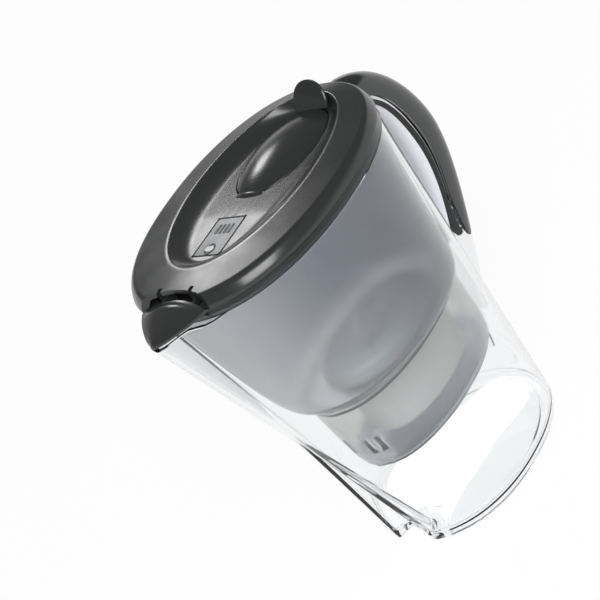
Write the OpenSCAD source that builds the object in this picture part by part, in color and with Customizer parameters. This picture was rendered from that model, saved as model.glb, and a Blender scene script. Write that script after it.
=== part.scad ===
// Water filter pitcher with a flip lid: a clear oval jug with a pointed spout, a smoky
// funnel that hangs in it and holds a filter cartridge, and a dark lid with a filling
// flap, a change reminder and a spout flap. Millimetres, +Z up, spout towards -X.

/* [Jug] */
// Height of the jug's rim above the table
rim_z = 232; // [200:1:260]
// Half length of the oval at the base
base_half_l = 71.5; // [60:0.5:80]
// Half width of the oval at the base
base_half_w = 60; // [50:0.5:66]
// Half length of the oval at the rim
rim_half_l = 93.2; // [85:0.1:96]
// Half width of the oval at the rim
rim_half_w = 72.7; // [66:0.1:76]
// Wall thickness of the jug
jug_wall = 2.3; // [1.6:0.1:3]
// Reach of the spout's tip in front of the jug's axis
spout_reach = 120; // [112:0.5:121]
// Height at which the spout's keel splits into two ridges
split_z = 119.4; // [90:0.1:140]
// Half distance between the two ridges at the base
toe_half = 15.4; // [8:0.1:20]
// Depth of the groove between the ridges at the base
groove_depth = 12.7; // [4:0.1:16]

/* [Handle] */
// Reach of the handle's back behind the jug's axis
handle_reach = 142.9; // [135:0.1:150]
// Half width of the handle
handle_half_w = 12.5; // [9:0.1:15]
// Thickness of the grip's shell
grip_wall = 2.6; // [1.6:0.1:3]

/* [Lid] */
// Height of the lid's lower edge above the table
seam_z = 239; // [236:1:262]
// Half length of the lid
lid_half_l = 95.2; // [94:0.1:98]
// Half width of the lid
lid_half_w = 74.7; // [73:0.1:78]
// Height of the lid's crest above its lower edge
lid_rise = 10.8; // [8:0.1:14]
// Wall thickness of the lid
lid_wall = 2.2; // [1.6:0.1:2.6]
// Depth of the dish beside the filling flap
dish_depth = 8.6; // [6:0.1:9]

/* [Flaps] */
// Half length of the filling flap
flap_half_l = 39.5; // [34:0.1:40]
// Half width of the filling flap
flap_half_w = 26.5; // [20:0.1:27]
// Height of the filling flap's crown
flap_crown = 8; // [5:0.1:9]
// Radius of the moulded hinge pins
pin_r = 1.4; // [1:0.05:1.8]
// Radial clearance of a pin in its bore
pin_gap = 0.06; // [0.02:0.01:0.1]

/* [Funnel] */
// Wall thickness of the funnel
funnel_wall = 2; // [1.4:0.1:2.4]
// Height of the funnel's lowest face above the table
well_z = 57.5; // [40:0.5:70]

/* [Cartridge] */
// Half length of the cartridge at its collar
cart_half_l = 46; // [40:0.5:48]
// Half width of the cartridge at its collar
cart_half_w = 31; // [26:0.5:32]

/* [Hidden] */

flap_tip_x = -121.5;
frame_x = -(flap_tip_x + handle_reach) / 2;   // puts the origin under the middle of the box
round_n = 2.2;        // how far the oval is from an ellipse

// ---------- shared functions ----------
function mix(p, q, t) = p + (q - p) * t;
function clamp01(t) = max(0, min(1, t));
function smooth(t) = let (c = clamp01(t)) c * c * (3 - 2 * c);
function spow(v, p) = sign(v) * pow(abs(v), p);
function bezier(p, t) = pow(1 - t, 3) * p[0] + 3 * t * pow(1 - t, 2) * p[1]
    + 3 * t * t * (1 - t) * p[2] + pow(t, 3) * p[3];
function oval(cx, a, b, count, n = round_n) =
    [for (i = [0 : count - 1]) let (ang = 360 * i / count)
        [cx + a * spow(cos(ang), 2 / n), b * spow(sin(ang), 2 / n)]];
function oval_ring(cx, a, b, z, count, n = round_n) = [for (p = oval(cx, a, b, count, n)) [p[0], p[1], z]];

// A closed skin over rings of equal count, from one centre point to another
module skin(first, rings, last) {
    count = len(rings[0]);
    ends = 1 + len(rings) * count;
    polyhedron(
        points = concat([first], [for (r = rings) for (p = r) p], [last]),
        faces = concat(
            [for (i = [0 : count - 1]) [0, 1 + i, 1 + (i + 1) % count]],
            [for (k = [0 : len(rings) - 2], i = [0 : count - 1], half = [0, 1])
                let (j = (i + 1) % count, lo = 1 + k * count, hi = lo + count)
                half == 0 ? [lo + i, hi + i, lo + j] : [hi + i, hi + j, lo + j]],
            [for (i = [0 : count - 1])
                [ends - count + i, ends, ends - count + (i + 1) % count]]));
}

module oval_plate(cx, a, b, z0, z1, count = 48, n = round_n) {
    translate([0, 0, z0]) linear_extrude(z1 - z0) polygon(oval(cx, a, b, count, n));
}

module oval_band(cx, a, b, wall, z0, z1, count = 48, n = round_n) {
    translate([0, 0, z0]) linear_extrude(z1 - z0) difference() {
        polygon(oval(cx, a, b, count, n));
        polygon(oval(cx, a - wall, b - wall, count, n));
    }
}

// A rod along Y
module rod_y(x, z, r, y0, y1, sides = 32) {
    translate([x, y0, z]) rotate([-90, 0, 0]) cylinder(r = r, h = y1 - y0, $fn = sides);
}

module block(lo, hi) {
    translate(lo) cube(hi - lo);
}

module framed() {
    translate([frame_x, 0, 0]) children();
}

// ---------- jug ----------
split_x = -87.4;       // where the keel splits
toe_x = -64.7;         // front of the two ridges at the base
front_cols = 7;        // columns from the middle of the front to the root of the spout
half_cols = 27;        // columns from the middle of the front to the middle of the back
col_share = [0, 0.4, 0.75, 1, 0.22, 0.48, 0.75, 1];

function jug_a(z) = mix(base_half_l, rim_half_l, pow(z / rim_z, 1.35));
function jug_b(z) = mix(base_half_w, rim_half_w, pow(z / rim_z, 0.8));
function jug_cx(z) = mix(5, -3.9, pow(z / rim_z, 1.4));
function below_split(z) = clamp01(1 - z / split_z);
function ridge_x(z) = z < split_z ? mix(toe_x, split_x, z / split_z)
    : mix(split_x, -spout_reach, (z - split_z) / (rim_z - split_z));
function ridge_half(z, d) = max(0.7, (toe_half + 0.9 * d) * below_split(z));
function root_half(z) = mix(24, 34, pow(z / rim_z, 2));
function front_oval_x(y, z, d) = jug_cx(z)
    - (jug_a(z) - d) * pow(1 - pow(y / (jug_b(z) - d), round_n), 1 / round_n);

// One point of the jug's outline on the front half column j, drawn in by d
function jug_col(j, z, d) =
    let (b = jug_b(z) - d, w = root_half(z) - 0.4 * d, r = min(ridge_half(z, d), w - 1.5),
         ridge = ridge_x(z) + 1.35 * d, deep = groove_depth * below_split(z))
    j <= 3 ? let (s = col_share[j]) [ridge + deep * (1 - pow(s, 3.6)), s * r]
    : j <= front_cols ?
        let (s = col_share[j], k = 0.16, bend = (sqrt(s * s + k * k) - k) / (sqrt(1 + k * k) - k))
        [mix(ridge, front_oval_x(w, z, d), bend), mix(r, w, s)]
    : let (root = 180 - asin(pow(w / b, round_n / 2)),
           ang = root * (1 - (j - front_cols) / (half_cols - front_cols)))
        [jug_cx(z) + (jug_a(z) - d) * spow(cos(ang), 2 / round_n), b * spow(sin(ang), 2 / round_n)];

// Height of the pouring lip above the rim
function lip(j) = j >= front_cols ? 0
    : let (s = j <= 3 ? 0 : col_share[j]) max(0, 5.6 * smooth((0.75 - s) / 0.3) - 2.9 * pow(1 - s, 2));

function jug_ring(z, d, lipped = 0) = [for (i = [0 : 2 * half_cols - 1])
    let (j = min(i, 2 * half_cols - i), zz = z + lipped * lip(j), p = jug_col(j, zz, d))
    [p[0], i > half_cols ? p[1] : -p[1], zz]];

jug_levels = [16, 36, 58, 82, 102, split_z, 142, 165, 188, 210];

module jug_body() {
    color([0.9, 0.94, 0.97, 0.35]) framed() skin(
        [5, 0, 2.2],
        concat(
            [jug_ring(2, 10.5), jug_ring(0, 9), jug_ring(0, 3.2), jug_ring(1, 0.9), jug_ring(3.6, 0)],
            [for (z = jug_levels) jug_ring(z, 0)],
            [jug_ring(rim_z, 0, 1), jug_ring(rim_z, jug_wall, 1)],
            [for (i = [len(jug_levels) - 1 : -1 : 0]) jug_ring(jug_levels[i], jug_wall)],
            [jug_ring(7.5, jug_wall + 0.6), jug_ring(5.2, jug_wall + 4)]),
        [5, 0, 5.2]);
}

// ---------- handle ----------
// Outer and inner edge of the handle in its middle plane, each two curves end to end
handle_out = [[[93, 0, 241.5], [118, 0, 242.5], [handle_reach - 1.5, 0, 210], [handle_reach, 0, 176]],
              [[handle_reach, 0, 176], [144, 0, 142], [111, 0, 86], [76.9, 0, 28]]];
handle_in = [[[87.4, 0, 217], [102, 0, 220], [109, 0, 200], [108.5, 0, 172]],
             [[108.5, 0, 172], [108, 0, 140], [96, 0, 114], [79.2, 0, 90]]];
top_steps = 8;
low_steps = 12;
section_count = 20;
grip_end = top_steps + 6.4;   // station where the grip ends on the outer edge
grip_hook = 1.1;      // how many stations further down it runs on the two sides
hook_ang = 70;        // place round the section where those two ends lie
root_half_w = 9;      // half width of the root at the handle's top end

function edge(curves, k) = k <= top_steps ? bezier(curves[0], k / top_steps)
    : bezier(curves[1], (k - top_steps) / low_steps);
function handle_w(k) = k <= top_steps ? mix(handle_half_w + 1.5, handle_half_w, smooth(k / top_steps))
    : mix(handle_half_w, 6.5, smooth((k - top_steps) / low_steps));

// Point of the handle's section k at an angle, drawn in by d; 0 degrees is the outer edge
// and the angle runs towards -Y, so that the skins over these sections face outwards
function handle_pt(k, ang, d) =
    let (o = edge(handle_out, k), i = edge(handle_in, k), mid = (o + i) / 2, arm = (o - i) / 2,
         half = norm(arm), n = 2.35)
    mid + arm / half * (half - d) * spow(cos(ang), 2 / n)
        - [0, (handle_w(k) - d) * spow(sin(ang), 2 / n), 0];

// How far round the section the grip reaches at station k
function grip_reach(k) = mix(hook_ang, 102, pow(clamp01((grip_end - k) / 1.6), 0.6));
function turned(ang) = abs(ang > 180 ? ang - 360 : ang);
function frame_inset(k, ang) = k > grip_end ? 0
    : (grip_wall - 0.1) * smooth((grip_reach(k) + 10 - turned(ang)) / 8);
// Stations near the grip's end bow down on the two sides, where the grip runs further
function bowed(k, ang) = k + grip_hook * smooth(turned(ang) / hook_ang)
    * (k < grip_end ? smooth((k - grip_end + 2.2) / 2.2) : 1 - smooth((k - grip_end) / 3));

module handle_frame() {
    last = top_steps + low_steps;
    stations = concat([for (k = [0 : top_steps + 6]) k], [grip_end, grip_end + 0.02],
        [for (k = [top_steps + 7 : last]) k]);
    color([0.9, 0.94, 0.97, 0.35]) framed() union() {
        skin((edge(handle_out, 0) + edge(handle_in, 0)) / 2,
            [for (k = stations) [for (i = [0 : section_count - 1])
                let (ang = 360 * i / section_count) handle_pt(bowed(k, ang), ang, frame_inset(k, ang))]],
            (edge(handle_out, last) + edge(handle_in, last)) / 2);
        // root that joins the handle's top end to the wall just below the rim
        block([87.8, -root_half_w, 220], [91.5, root_half_w, rim_z - 0.4]);
    }
}

module handle_grip() {
    arc = 12;
    stations = concat([for (k = [0 : top_steps + 5]) k],
        [for (back = [0.9, 0.45, 0.15, 0.02]) grip_end - back]);
    rings = [for (k = stations) let (reach = grip_reach(k),
        outer = [for (i = [0 : arc]) mix(-reach, reach, i / arc)]) concat(
            [for (ang = outer) handle_pt(bowed(k, ang), ang, 0)],
            [for (ang = outer) handle_pt(bowed(k, -ang), -ang, grip_wall)])];
    count = 2 * (arc + 1);
    last = (len(stations) - 1) * count;
    color([0.27, 0.28, 0.29]) framed() polyhedron(
        points = [for (r = rings) for (p = r) p],
        faces = concat(
            [for (i = [0 : arc - 1], half = [0, 1])
                half == 0 ? [i, i + 1, count - 1 - i] : [i + 1, count - 2 - i, count - 1 - i]],
            [for (k = [0 : len(rings) - 2], i = [0 : count - 1], half = [0, 1])
                let (j = (i + 1) % count, lo = k * count, hi = lo + count)
                half == 0 ? [lo + i, hi + i, lo + j] : [hi + i, hi + j, lo + j]],
            [for (i = [0 : arc - 1], half = [0, 1])
                half == 0 ? [last + i, last + count - 1 - i, last + i + 1]
                : [last + i + 1, last + count - 1 - i, last + count - 2 - i]]));
}

// ---------- funnel ----------
// Outer outline of the funnel by height: height, middle, half length, half width
flange_a = 94;
flange_b = 73.5;
flange_cx = -4.2;
well_cx = 10.5;
funnel_outline = [
    [well_z, well_cx, 59.6, 34.4],
    [well_z + 1.2, well_cx, 62.4, 37],
    [well_z + 5, well_cx, 64, 38.8],
    [90, 9, 66.5, 41.8],
    [112, 8, 68, 44],
    [117.4, 7.4, 68.8, 45.2],
    [119, 6.8, 70, 50],
    [123, 5, 72.8, 54.5],
    [131, 3.2, 75.2, 58.6],
    [148, 0.8, 78, 62],
    [190, -2.2, 84.2, 66.8],
    [225, -4, 89.4, 69.4]];
funnel_count = 44;
outlet_r = 9;         // radius of the outlet in the well's floor

module funnel() {
    outer = [for (s = funnel_outline) oval_ring(s[1], s[2], s[3], s[0], funnel_count)];
    inner = [for (i = [len(funnel_outline) - 1 : -1 : 1]) let (s = funnel_outline[i])
        oval_ring(s[1], s[2] - funnel_wall, s[3] - funnel_wall, s[0] + (s[0] < 125 ? 1.6 : 0), funnel_count)];
    top = seam_z - 0.3;
    color([0.45, 0.48, 0.52, 0.6]) framed() difference() {
        skin([well_cx, 0, well_z],
            concat(outer, [
                oval_ring(flange_cx, 89.8, 69.6, rim_z + 0.3, funnel_count),
                oval_ring(flange_cx, flange_a, flange_b, rim_z + 0.3, funnel_count),
                oval_ring(flange_cx, flange_a, flange_b, top, funnel_count),
                oval_ring(flange_cx, 88, 67.6, top, funnel_count)], inner),
            [well_cx, 0, well_z + 2.8]);
        // outlet under the cartridge, and the overflow slots in the well's front
        translate([well_cx, 0, well_z - 1]) cylinder(r = outlet_r, h = 6, $fn = 48);
        for (y = [-15, -9, 9, 15]) block([-60, y - 1, 73], [-44, y + 1, 86]);
    }
}

module cartridge_seat() {
    color([0.42, 0.45, 0.49]) framed() union() {
        difference() {
            oval_plate(8, 66.1, 42.1, 112.2, 114.4);
            oval_plate(well_cx, cart_half_l + 1, cart_half_w + 1, 111, 116);
        }
        oval_band(well_cx, cart_half_l + 2.6, cart_half_w + 2.6, 1.6, 106, 113);
    }
}

// ---------- cartridge ----------
collar_z = 114.7;     // underside of the cup's collar
cup_low = 68;         // underside of the cup
slot_half = 1.2;      // half width of the inlet and outlet slots
screen = 0.6;         // thickness of the two screens

module cartridge_cup() {
    low_a = cart_half_l - 2.4;
    low_b = cart_half_w - 2.4;
    color("white") framed() difference() {
        union() {
            oval_plate(well_cx, cart_half_l + 3, cart_half_w + 3, collar_z, collar_z + 2);
            skin([well_cx, 0, cup_low],
                [oval_ring(well_cx, low_a - 2.5, low_b - 2.5, cup_low, 40),
                 oval_ring(well_cx, low_a, low_b, cup_low + 2.5, 40),
                 oval_ring(well_cx, cart_half_l - 0.2, cart_half_w - 0.2, collar_z + 1, 40)],
                [well_cx, 0, collar_z + 1]);
        }
        skin([well_cx, 0, cup_low + 1.6],
            [oval_ring(well_cx, low_a - 3, low_b - 3, cup_low + 1.6, 40),
             oval_ring(well_cx, cart_half_l - 1.8, cart_half_w - 1.8, collar_z + 3, 40)],
            [well_cx, 0, collar_z + 3]);
        // ring of outlet slots in the cup's floor
        for (ang = [0 : 45 : 315])
            translate([well_cx, 0, cup_low - 1]) rotate([0, 0, ang])
                block([6, -slot_half, 0], [16, slot_half, 4]);
    }
}

module cartridge_seal() {
    color("dimgray") framed() oval_band(well_cx, cart_half_l + 0.85, cart_half_w + 0.85, 1.35, 110, 112);
}

module cartridge_cap() {
    color("white") framed() difference() {
        union() {
            oval_plate(well_cx, cart_half_l + 1.2, cart_half_w + 1.2, collar_z + 2, collar_z + 4);
            skin([well_cx, 0, collar_z + 3],
                [oval_ring(well_cx, cart_half_l - 1, cart_half_w - 1, collar_z + 3, 40),
                 oval_ring(well_cx, cart_half_l - 4, cart_half_w - 4, collar_z + 8, 40),
                 oval_ring(well_cx, cart_half_l - 12, cart_half_w - 11, collar_z + 11, 40)],
                [well_cx, 0, collar_z + 11.6]);
        }
        skin([well_cx, 0, collar_z + 1],
            [oval_ring(well_cx, cart_half_l - 3, cart_half_w - 3, collar_z + 1, 40),
             oval_ring(well_cx, cart_half_l - 6, cart_half_w - 6, collar_z + 6.6, 40),
             oval_ring(well_cx, cart_half_l - 13, cart_half_w - 12, collar_z + 9.2, 40)],
            [well_cx, 0, collar_z + 9.6]);
        // inlet slots on both sides of the pull ring
        for (side = [-1, 1], i = [-3 : 3])
            translate([well_cx + i * 8, side * 13, collar_z + 5])
                block([-slot_half, -5, 0], [slot_half, 5, 20]);
    }
}

module pull_ring() {
    color("white") framed() translate([well_cx, 0, collar_z + 11]) difference() {
        rotate([90, 0, 0]) translate([0, 0, -1.6]) cylinder(r = 16, h = 3.2, $fn = 64);
        rotate([90, 0, 0]) translate([0, 0, -3]) cylinder(r = 12, h = 6, $fn = 64);
        translate([-20, -4, -20]) cube([40, 8, 20]);
    }
}

module top_screen() {
    color("gainsboro") framed()
        oval_plate(well_cx, cart_half_l - 2.2, cart_half_w - 2.2, collar_z + 1 - screen, collar_z + 1, 40);
}

module bottom_screen() {
    color("gainsboro") framed()
        oval_plate(well_cx, cart_half_l - 6, cart_half_w - 6, cup_low + 1.7, cup_low + 1.7 + screen, 40);
}

module filter_media() {
    color([0.25, 0.22, 0.2]) framed() skin([well_cx, 0, cup_low + 2.4],
        [oval_ring(well_cx, cart_half_l - 6, cart_half_w - 6, cup_low + 2.4, 40),
         oval_ring(well_cx, cart_half_l - 2.4, cart_half_w - 2.4, collar_z, 40)],
        [well_cx, 0, collar_z]);
}

// ---------- lid ----------
lid_cx = -4.4;
crest_cx = 4.6;       // middle of the dish's rim line
crest_a = 74.2;
crest_b = 49.6;
floor_cx = 8.5;       // middle of the dish's floor
floor_a = 67.5;
floor_b = 30;
lid_count = 48;
crest_z = seam_z + lid_rise;
flap_cx = 33;
memo_x = -40;         // middle of the change reminder

memo_drop = 4.9;      // depth of the dish's front shelf, which carries the change reminder
shelf_end = -22;      // where the shelf starts to slope down under the filling flap
slope_end = 72;       // where that slope ends, at the thumb tab
floor_steps = [0.72, 0.45, 0.2];   // rings of the dish's floor

function floor_z(x) = let (down = clamp01((x - shelf_end) / (slope_end - shelf_end)))
    crest_z - mix(memo_drop, dish_depth, down);

// Rings of the lid's upper face: q from 0 at the crest to 1 at the dish's floor
function dish_ring(q, drop) = [for (p = oval(mix(crest_cx, floor_cx, q), mix(crest_a, floor_a, q),
        mix(crest_b, floor_b, q), lid_count, 2))
    [p[0], p[1], mix(crest_z, floor_z(p[0]), 1 - pow(1 - q, 2)) - drop]];
function floor_ring(s, drop) = [for (p = oval(floor_cx, floor_a * s, floor_b * s, lid_count, 2))
    [p[0], p[1], floor_z(p[0]) - drop]];
// s from 0 at the lid's edge to 1 at the crest, drawn in by d: a rounded edge, then a slight slope
edge_share = 0.22;
edge_rise = 0.72;
function shoulder_z(s) = mix(seam_z + 1.6, crest_z,
    edge_rise * (1 - pow(1 - min(1, s / edge_share), 2.5)) + (1 - edge_rise) * s);
function shoulder_ring(s, d) = oval_ring(
    mix(lid_cx, crest_cx, s),
    mix(lid_half_l, crest_a, s) - d * (1 - s),
    mix(lid_half_w, crest_b, s) - d * (1 - s),
    shoulder_z(s) - (d > 0 ? lid_wall : 0), lid_count, mix(round_n, 2, s));

spout_cut_r = 70;
spout_cut_x = -87.9;      // front edge of the lid shell above the spout flap
cut_lean = 0.25;          // how far that edge leans back per millimetre of height
frame_cut_x = -88.9;      // front edge of the lid frame's flange below it
hinge_x = -84;            // axis of the spout flap
hinge_z = 241;
arm_y = 13.5;             // middle of each arm of the spout flap
arm_half = 1.4;           // half thickness of an arm
fill_hinge_x = -4.4;      // axis of the filling flap
fill_hinge_z = 242.5;
knuckle_half = 10.6;      // half length of the filling flap's knuckle
knuckle_r = 3.2;          // its radius in the middle
knuckle_taper = 12;       // half length at which its barrel would end in a point
skirt_low = rim_z + 0.6;  // lower edge of the skirt that plugs the funnel's mouth, clear of the jug's rim

module hinge_lugs(x, z, inside, outside, top, reach) {
    for (side = [-1, 1])
        block([x - reach, min(side * inside, side * outside), z - 2.6],
              [x + reach, max(side * inside, side * outside), top]);
}

// The barrel of the filling flap's knuckle
module knuckle() {
    translate([fill_hinge_x, 0, fill_hinge_z]) rotate([-90, 0, 0]) rotate_extrude($fn = 48)
        polygon(concat([[0, knuckle_half], [0, -knuckle_half]],
            [for (i = [-8 : 8]) let (y = knuckle_half * i / 8)
                [knuckle_r * sqrt(1 - pow(y / knuckle_taper, 2)), y]]));
}

module lid_shell() {
    edge_in = 2;
    color([0.235, 0.243, 0.239]) framed() difference() {
        union() {
            skin([floor_cx, 0, floor_z(floor_cx) - lid_wall],
                concat(
                    [for (i = [len(floor_steps) - 1 : -1 : 0]) floor_ring(floor_steps[i], lid_wall)],
                    [dish_ring(1, lid_wall), dish_ring(0.4, lid_wall)],
                    [for (s = [1, 0.6, 0.26, 0.16]) shoulder_ring(s, edge_in)],
                    [oval_ring(lid_cx, lid_half_l - edge_in, lid_half_w - edge_in, seam_z, lid_count),
                     oval_ring(lid_cx, lid_half_l, lid_half_w, seam_z, lid_count)],
                    [for (s = [0, 0.03, 0.07, 0.12, 0.17, 0.22, 0.6, 1]) shoulder_ring(s, 0)],
                    [for (q = [0.15, 0.4, 0.7, 1]) dish_ring(q, 0)],
                    [for (s = floor_steps) floor_ring(s, 0)]),
                [floor_cx, 0, floor_z(floor_cx)]);
            hinge_lugs(hinge_x, hinge_z, 9.4, arm_y - arm_half - 0.3, hinge_z + 6.2, 2.6);
            hinge_lugs(hinge_x, hinge_z, arm_y + arm_half + 0.3, 17.6, hinge_z + 6.2, 2.6);
            hinge_lugs(fill_hinge_x, fill_hinge_z, 11.4, 14.4, fill_hinge_z + 0.4, 3);
        }
        // filling hole, with room for the flap's knuckle in front
        oval_plate(flap_cx, flap_half_l + 0.7, flap_half_w + 0.7, 225, 262, 48, 2);
        block([fill_hinge_x - knuckle_r - 0.6, -knuckle_half - 0.4, 225], [5, knuckle_half + 0.4, 262]);
        // window of the change reminder
        block([memo_x - 16.3, -12.3, 225], [memo_x + 16.3, 12.3, 262]);
        // mouth over the spout, leaning back so that the flap can swing, with a slot for each of its arms
        translate([spout_cut_x - spout_cut_r, 0, hinge_z - 16])
            cylinder(r1 = spout_cut_r - 16 * cut_lean, r2 = spout_cut_r + 44 * cut_lean, h = 60, $fn = 160);
        for (side = [-1, 1])
            block([-94, side * arm_y - arm_half - 0.3, 235], [hinge_x, side * arm_y + arm_half + 0.3, 262]);
        rod_y(hinge_x, hinge_z, pin_r + pin_gap, -20, 20);
        rod_y(fill_hinge_x, fill_hinge_z, pin_r + pin_gap, -14, 14);
    }
}

module lid_frame() {
    color([0.2, 0.21, 0.21]) framed() difference() {
        union() {
            oval_band(flange_cx, 92.6, 72.1, 7, seam_z, seam_z + 1.5);
            oval_band(flange_cx, 87.2, 66.8, 2, skirt_low, seam_z + 1.5);
            oval_plate(flange_cx, 86, 65.6, 233, 234.8);
            oval_plate(flap_cx, flap_half_l - 1, flap_half_w - 1, 233, 238.8, 48, 2);
        }
        oval_plate(flap_cx, flap_half_l - 3, flap_half_w - 3, 220, 262, 48, 2);
        // room for the flap's knuckle and the mouth over the spout
        block([-9, -14.8, 235.2], [1, 14.8, 262]);
        translate([frame_cut_x - spout_cut_r, 0, seam_z - 0.3]) cylinder(r = spout_cut_r, h = 20, $fn = 160);
        block([-100, -19, seam_z - 0.8], [-78, 19, 262]);
    }
}

// ---------- change reminder ----------
memo_top = crest_z - memo_drop;

module memo_case() {
    color([0.17, 0.18, 0.18]) framed() difference() {
        block([memo_x - 16, -12, 234.8], [memo_x + 16, 12, memo_top - 0.9]);
        block([memo_x - 14.8, -10.8, 236.8], [memo_x + 14.8, 10.8, 262]);
    }
}

module memo_battery() {
    color("silver") framed() translate([memo_x + 3, 0, 236.8]) cylinder(r = 10, h = 1.6, $fn = 64);
}

module memo_contact() {
    color("gold") framed() difference() {
        block([memo_x - 10, -2, 238.4], [memo_x + 8, 2, 239.6]);
        block([memo_x - 4, -3, 238.8], [memo_x + 6, 3, 239.3]);
    }
}

module memo_board() {
    color("darkgreen") framed() block([memo_x - 14.6, -10.6, 239.6], [memo_x + 14.6, 10.6, 240.6]);
}

module memo_display() {
    color([0.6, 0.64, 0.62]) framed() block([memo_x - 5, -9.6, 240.6], [memo_x + 14.4, 9.6, 243.4]);
}

module memo_window() {
    color([0.7, 0.73, 0.75, 0.5]) framed() difference() {
        translate([memo_x, 0, memo_top - 0.9]) linear_extrude(0.9) offset(3) square([26, 18], center = true);
        translate([memo_x - 10.5, 0, 240]) scale([1, 1.5, 1]) cylinder(r = 2.6, h = 8, $fn = 32);
    }
}

module memo_button() {
    color([0.75, 0.77, 0.78]) framed() translate([memo_x - 10.5, 0, 0]) {
        translate([0, 0, 242.4]) scale([1, 1.5, 1]) cylinder(r = 2.3, h = memo_top + 0.6 - 242.4, $fn = 32);
        translate([0, 0, 242.4]) scale([1, 1.5, 1]) cylinder(r = 3.4, h = 1, $fn = 32);
        translate([0, 0, 241.4]) cylinder(r = 1.2, h = 1.4, $fn = 24);
    }
}

// ---------- filling flap ----------
// The flap's outline lies in the slope of the dish's floor
function flap_ring(s, lift, d) =
    [for (p = oval(flap_cx, (flap_half_l - d) * s, (flap_half_w - d) * s, lid_count, 2))
        [p[0], p[1], floor_z(p[0]) + lift]];
function crown(s) = flap_crown * pow(1 - s * s, 0.75);

module fill_flap() {
    under = 1.9;
    color([0.235, 0.243, 0.239]) framed() union() {
        difference() {
            skin([flap_cx, 0, floor_z(flap_cx) + flap_crown - 2.1],
                concat(
                    [for (s = [0.3, 0.55, 0.8, 0.93]) flap_ring(s, crown(s) - 2, 2)],
                    [flap_ring(1, -under, 2), flap_ring(1, -under, 0)],
                    [for (s = [1, 0.96, 0.88, 0.75, 0.55, 0.3]) flap_ring(s, crown(s), 0)]),
                [flap_cx, 0, floor_z(flap_cx) + flap_crown]);
            // the front edge ends at the hinge's axis, and a little behind it beside the knuckle
            block([-9, -30, 230], [fill_hinge_x, 30, 260]);
            for (side = [-1, 1])
                block([-9, side * 12 - 1.4, 230], [fill_hinge_x + 2.2, side * 12 + 1.4, 260]);
        }
        knuckle();
        block([fill_hinge_x, -knuckle_half, fill_hinge_z - 0.4],
              [fill_hinge_x + 6, knuckle_half, fill_hinge_z + 1.8]);
        rod_y(fill_hinge_x, fill_hinge_z, pin_r, -13.7, 13.7);
        thumb_tab();
    }
}

// Rounded tab that leans back over the dish's rim
module thumb_tab() {
    lean = 28;
    tab_r = 13.8;
    tab_thick = 2.4;
    foot_z = floor_z(slope_end);
    block([65, -7, foot_z - 1.8], [71.3, 7, foot_z + 2.4]);
    translate([69.2, 0, 240]) rotate([0, lean, 0]) translate([-tab_thick / 2, 0, 0]) rotate([90, 0, 90])
        linear_extrude(tab_thick) intersection() {
            translate([0, 7.6]) circle(r = tab_r, $fn = 64);
            translate([-tab_r, 2.6]) square([2 * tab_r, 30]);
        }
}

// ---------- spout flap ----------
flap_rear_x = -90.6;
flap_low = 239;
spout_cols = 10;

function spout_half(u) = max(1.2, 27 * pow(1 - pow(u, 1.25), 0.8));
function spout_pt(u, v, z) = [mix(flap_rear_x - 5.2 * v * v, flap_tip_x, u), spout_half(u) * v, z];
function spout_low(u) = flap_low - 2.2 * u * u;
function spout_top(u, v) = mix(241, 238.6, u)
    + (5 * pow(1 - u, 0.8) + 0.9) * (1 - v * v) * mix(0.62, 1, smooth(u / 0.2));

module spout_flap() {
    rows = [0, 0.05, 0.12, 0.25, 0.4, 0.55, 0.7, 0.82, 0.91, 0.97, 1];
    color([0.235, 0.243, 0.239]) framed() union() {
        skin([mix(flap_rear_x, flap_tip_x, 0.01), 0, 241],
            [for (u = rows) concat(
                [for (v = [-1 : 2 / spout_cols : 1.001]) spout_pt(u, v, spout_top(u, v))],
                [for (v = [1 : -2 / spout_cols : -1.001]) spout_pt(u, v, spout_low(u))])],
            [flap_tip_x, 0, 238.3]);
        for (side = [-1, 1]) {
            hull() {
                rod_y(hinge_x, hinge_z, 2, side * arm_y - arm_half, side * arm_y + arm_half, 24);
                block([-97, side * arm_y - arm_half, flap_low], [-96, side * arm_y + arm_half, flap_low + 2]);
            }
            rod_y(hinge_x, hinge_z, pin_r, side * arm_y - 4, side * arm_y + 4);
        }
    }
}

jug_body();
handle_frame();
handle_grip();
funnel();
cartridge_seat();
cartridge_cup();
cartridge_seal();
cartridge_cap();
pull_ring();
top_screen();
bottom_screen();
filter_media();
lid_shell();
lid_frame();
memo_case();
memo_battery();
memo_contact();
memo_board();
memo_display();
memo_window();
memo_button();
fill_flap();
spout_flap();
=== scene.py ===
# Water filter pitcher with a flip lid: clear jug, smoky funnel with its cartridge, graphite lid.
import bmesh
import bpy
import math
from mathutils import Matrix, Quaternion, Vector


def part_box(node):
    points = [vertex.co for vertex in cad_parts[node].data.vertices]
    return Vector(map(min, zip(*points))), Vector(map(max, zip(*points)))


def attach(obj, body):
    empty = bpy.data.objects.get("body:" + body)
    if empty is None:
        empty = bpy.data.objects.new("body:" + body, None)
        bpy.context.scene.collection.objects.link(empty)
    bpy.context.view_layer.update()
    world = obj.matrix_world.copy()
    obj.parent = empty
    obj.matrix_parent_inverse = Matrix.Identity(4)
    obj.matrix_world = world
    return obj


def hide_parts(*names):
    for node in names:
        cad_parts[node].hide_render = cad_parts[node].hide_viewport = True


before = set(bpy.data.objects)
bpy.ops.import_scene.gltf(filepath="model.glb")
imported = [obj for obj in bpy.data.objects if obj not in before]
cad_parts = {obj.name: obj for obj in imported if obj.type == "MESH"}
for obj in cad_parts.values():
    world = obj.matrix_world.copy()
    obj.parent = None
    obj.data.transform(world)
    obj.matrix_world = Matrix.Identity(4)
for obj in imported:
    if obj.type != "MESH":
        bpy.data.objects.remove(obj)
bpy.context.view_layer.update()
mm = 0.001
wellMiddle = 10.5                                 # mm behind the jug's axis
mediaLow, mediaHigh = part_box("filter_media")
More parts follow.
